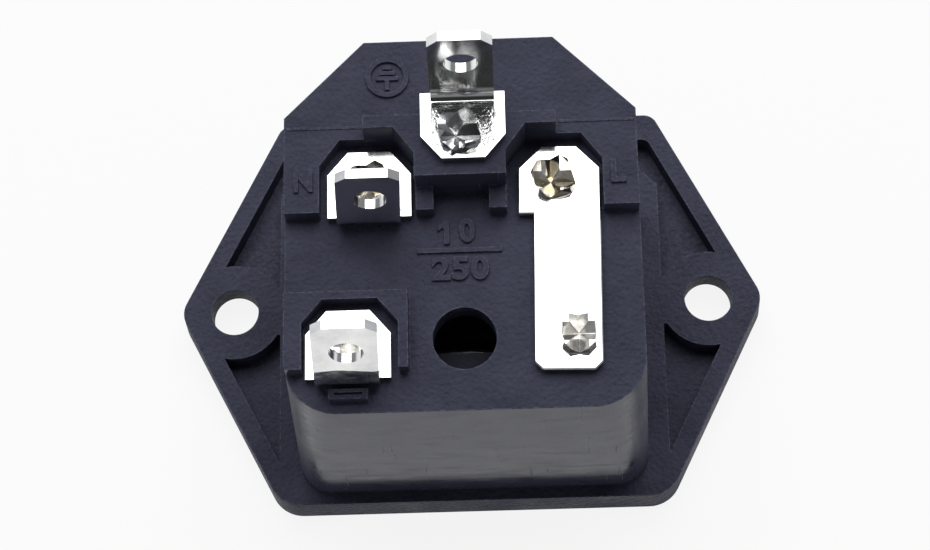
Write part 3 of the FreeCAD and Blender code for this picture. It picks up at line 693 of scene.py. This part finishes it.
def floor_sheet():
    """Wide sheet round an opening that the flange covers."""
    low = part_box("housing")[0]
    shape = bmesh.new()
    rings = (rectangle(OPENING_HALF_X, OPENING_HALF_Y), rectangle(FLOOR_REACH, FLOOR_REACH))
    inner, outer = [[shape.verts.new((x, y, low.z - FLOOR_DROP)) for x, y in ring] for ring in rings]
    for i in range(len(inner)):
        shape.faces.new((inner[i - 1], outer[i - 1], outer[i], inner[i]))
    shape.normal_update()
    mesh = bpy.data.meshes.new("studio_sheet")
    shape.to_mesh(mesh)
    shape.free()
    sheet = bpy.data.objects.new("studio_sheet", mesh)
    bpy.context.collection.objects.link(sheet)
    return sheet


def sheet_finish():
    """White that keeps a pale shadow, glows to the eye, in metal and in glass, and is clear from below."""
    finish = bpy.data.materials.new("studio_white")
    finish.use_nodes = True
    coat = Palette(finish.node_tree)
    seen = coat.add("LightPath").outputs
    paper = coat.add("BsdfDiffuse", {"Color": PAPER_WHITE}).outputs[0]
    table = coat.add("BsdfDiffuse", {"Color": TABLE_WHITE}).outputs[0]
    glow = coat.add("Emission", {"Strength": TABLE_GLOW}).outputs[0]
    lit = coat.add("AddShader", {0: table, 1: glow}).outputs[0]
    shiny_rays = coat.larger(seen["Is Glossy Ray"], seen["Is Transmission Ray"])
    sharp_rays = coat.larger(seen["Is Camera Ray"], shiny_rays)
    white = coat.add("MixShader", {0: sharp_rays, 1: paper, 2: lit}).outputs[0]
    clear = coat.add("BsdfTransparent").outputs[0]
    underside = coat.add("NewGeometry").outputs["Backfacing"]
    sheet_side = coat.add("MixShader", {0: underside, 1: white, 2: clear}).outputs[0]
    coat.add("OutputMaterial", {"Surface": sheet_side})
    return finish


sheet = floor_sheet()
sheet.data.materials.append(sheet_finish())

# Studio room and lamp: bright low walls at the sides and behind, a dim patch above the fuse
# side, round the camera, and one wide soft lamp behind the part.
ROOM_LEVEL = 0.24
ROOM_TINT = (0.93, 0.96, 1.0, 1)
ROOM_WHITE = (1, 1, 1, 1)
DIM_LEVEL = 0.03
DIM_TOWARDS = Vector((0.02, -0.30, 0.954))
DIM_INNER = math.radians(19)
DIM_OUTER = math.radians(38)
WALLS_LEVEL = 0.60
WALLS_TOP = 0.26
WALLS_START = -0.3
WALLS_FULL = 0.1


def studio_room():
    """Light of the room, which looks plain white to the eye and through glass."""
    world = bpy.data.worlds.new("studio_room")
    bpy.context.scene.world = world
    world.use_nodes = True
    light = Palette(world.node_tree)
    towards = light.add("TexCoord").outputs["Generated"]
    facing = light.along(towards, DIM_TOWARDS.normalized())
    level = light.add("MapRange", {"Value": facing, "From Min": math.cos(DIM_OUTER),
                                   "From Max": math.cos(DIM_INNER), "To Min": ROOM_LEVEL,
                                   "To Max": DIM_LEVEL}, interpolation_type="SMOOTHSTEP").outputs[0]
    parts = light.split(towards)
    low_walls = light.spread(parts["Z"], WALLS_TOP, WALLS_TOP / 2)
    not_in_front = light.spread(parts["Y"], WALLS_START, WALLS_FULL, 0.0, WALLS_LEVEL)
    whole = light.reckon("MULTIPLY_ADD", low_walls, not_in_front, level)
    room = light.add("Background", {"Color": ROOM_TINT, "Strength": whole}).outputs[0]
    white = light.add("Background", {"Color": ROOM_WHITE, "Strength": 1.0}).outputs[0]
    seen = light.add("LightPath").outputs
    clear_rays = light.larger(seen["Is Camera Ray"], seen["Is Transmission Ray"])
    pick = light.add("MixShader", {0: clear_rays, 1: room, 2: white}).outputs[0]
    light.add("OutputWorld", {"Surface": pick})


studio_room()
LAMP_PLACE = Vector((0.0, 0.21, 0.40))
LAMP_AIM = Vector((0.0, 0.0, 0.01))
LAMP_WIDTH = 0.46
LAMP_LENGTH = 0.36
LAMP_WATTS = 1.75
lamp = bpy.data.lights.new("top_light", "AREA")
lamp.shape = "RECTANGLE"
lamp.size = LAMP_WIDTH
lamp.size_y = LAMP_LENGTH
lamp.energy = LAMP_WATTS
stand = bpy.data.objects.new("top_light", lamp)
stand.location = LAMP_PLACE
stand.rotation_mode = "QUATERNION"
stand.rotation_quaternion = (LAMP_AIM - LAMP_PLACE).to_track_quat("-Z", "Y")
bpy.context.collection.objects.link(stand)

# Camera: looks down on the rear from the fuse side, a hand's length away, with its picture
# turned a little.
CAMERA_AIM = Vector((-0.2765, 0.4303, 10.0)) * MM
CAMERA_AZIMUTH = math.radians(4.502)
CAMERA_ELEVATION = math.radians(70.846)
CAMERA_ROLL = math.radians(-6.011)
CAMERA_DISTANCE = 192 * MM
CAMERA_SENSOR = 36
CAMERA_LENS = 90.8
CAMERA_NEAR = 0.01
CAMERA_FAR = 20
camera = bpy.data.objects.new("camera", bpy.data.cameras.new("camera"))
bpy.context.collection.objects.link(camera)
back = Vector((math.sin(CAMERA_AZIMUTH) * math.cos(CAMERA_ELEVATION),
               -math.cos(CAMERA_AZIMUTH) * math.cos(CAMERA_ELEVATION), math.sin(CAMERA_ELEVATION)))
right = (-back).cross(Vector((0, 0, 1))).normalized()
up = right.cross(-back)
turned_right = right * math.cos(CAMERA_ROLL) + up * math.sin(CAMERA_ROLL)
turned_up = up * math.cos(CAMERA_ROLL) - right * math.sin(CAMERA_ROLL)
stance = Matrix((turned_right, turned_up, back)).transposed().to_4x4()
camera.matrix_world = Matrix.Translation(CAMERA_AIM + back * CAMERA_DISTANCE) @ stance
camera.data.sensor_width = CAMERA_SENSOR
camera.data.lens = CAMERA_LENS
camera.data.clip_start = CAMERA_NEAR
camera.data.clip_end = CAMERA_FAR
bpy.context.scene.camera = camera
bpy.context.scene.view_settings.view_transform = "Standard"
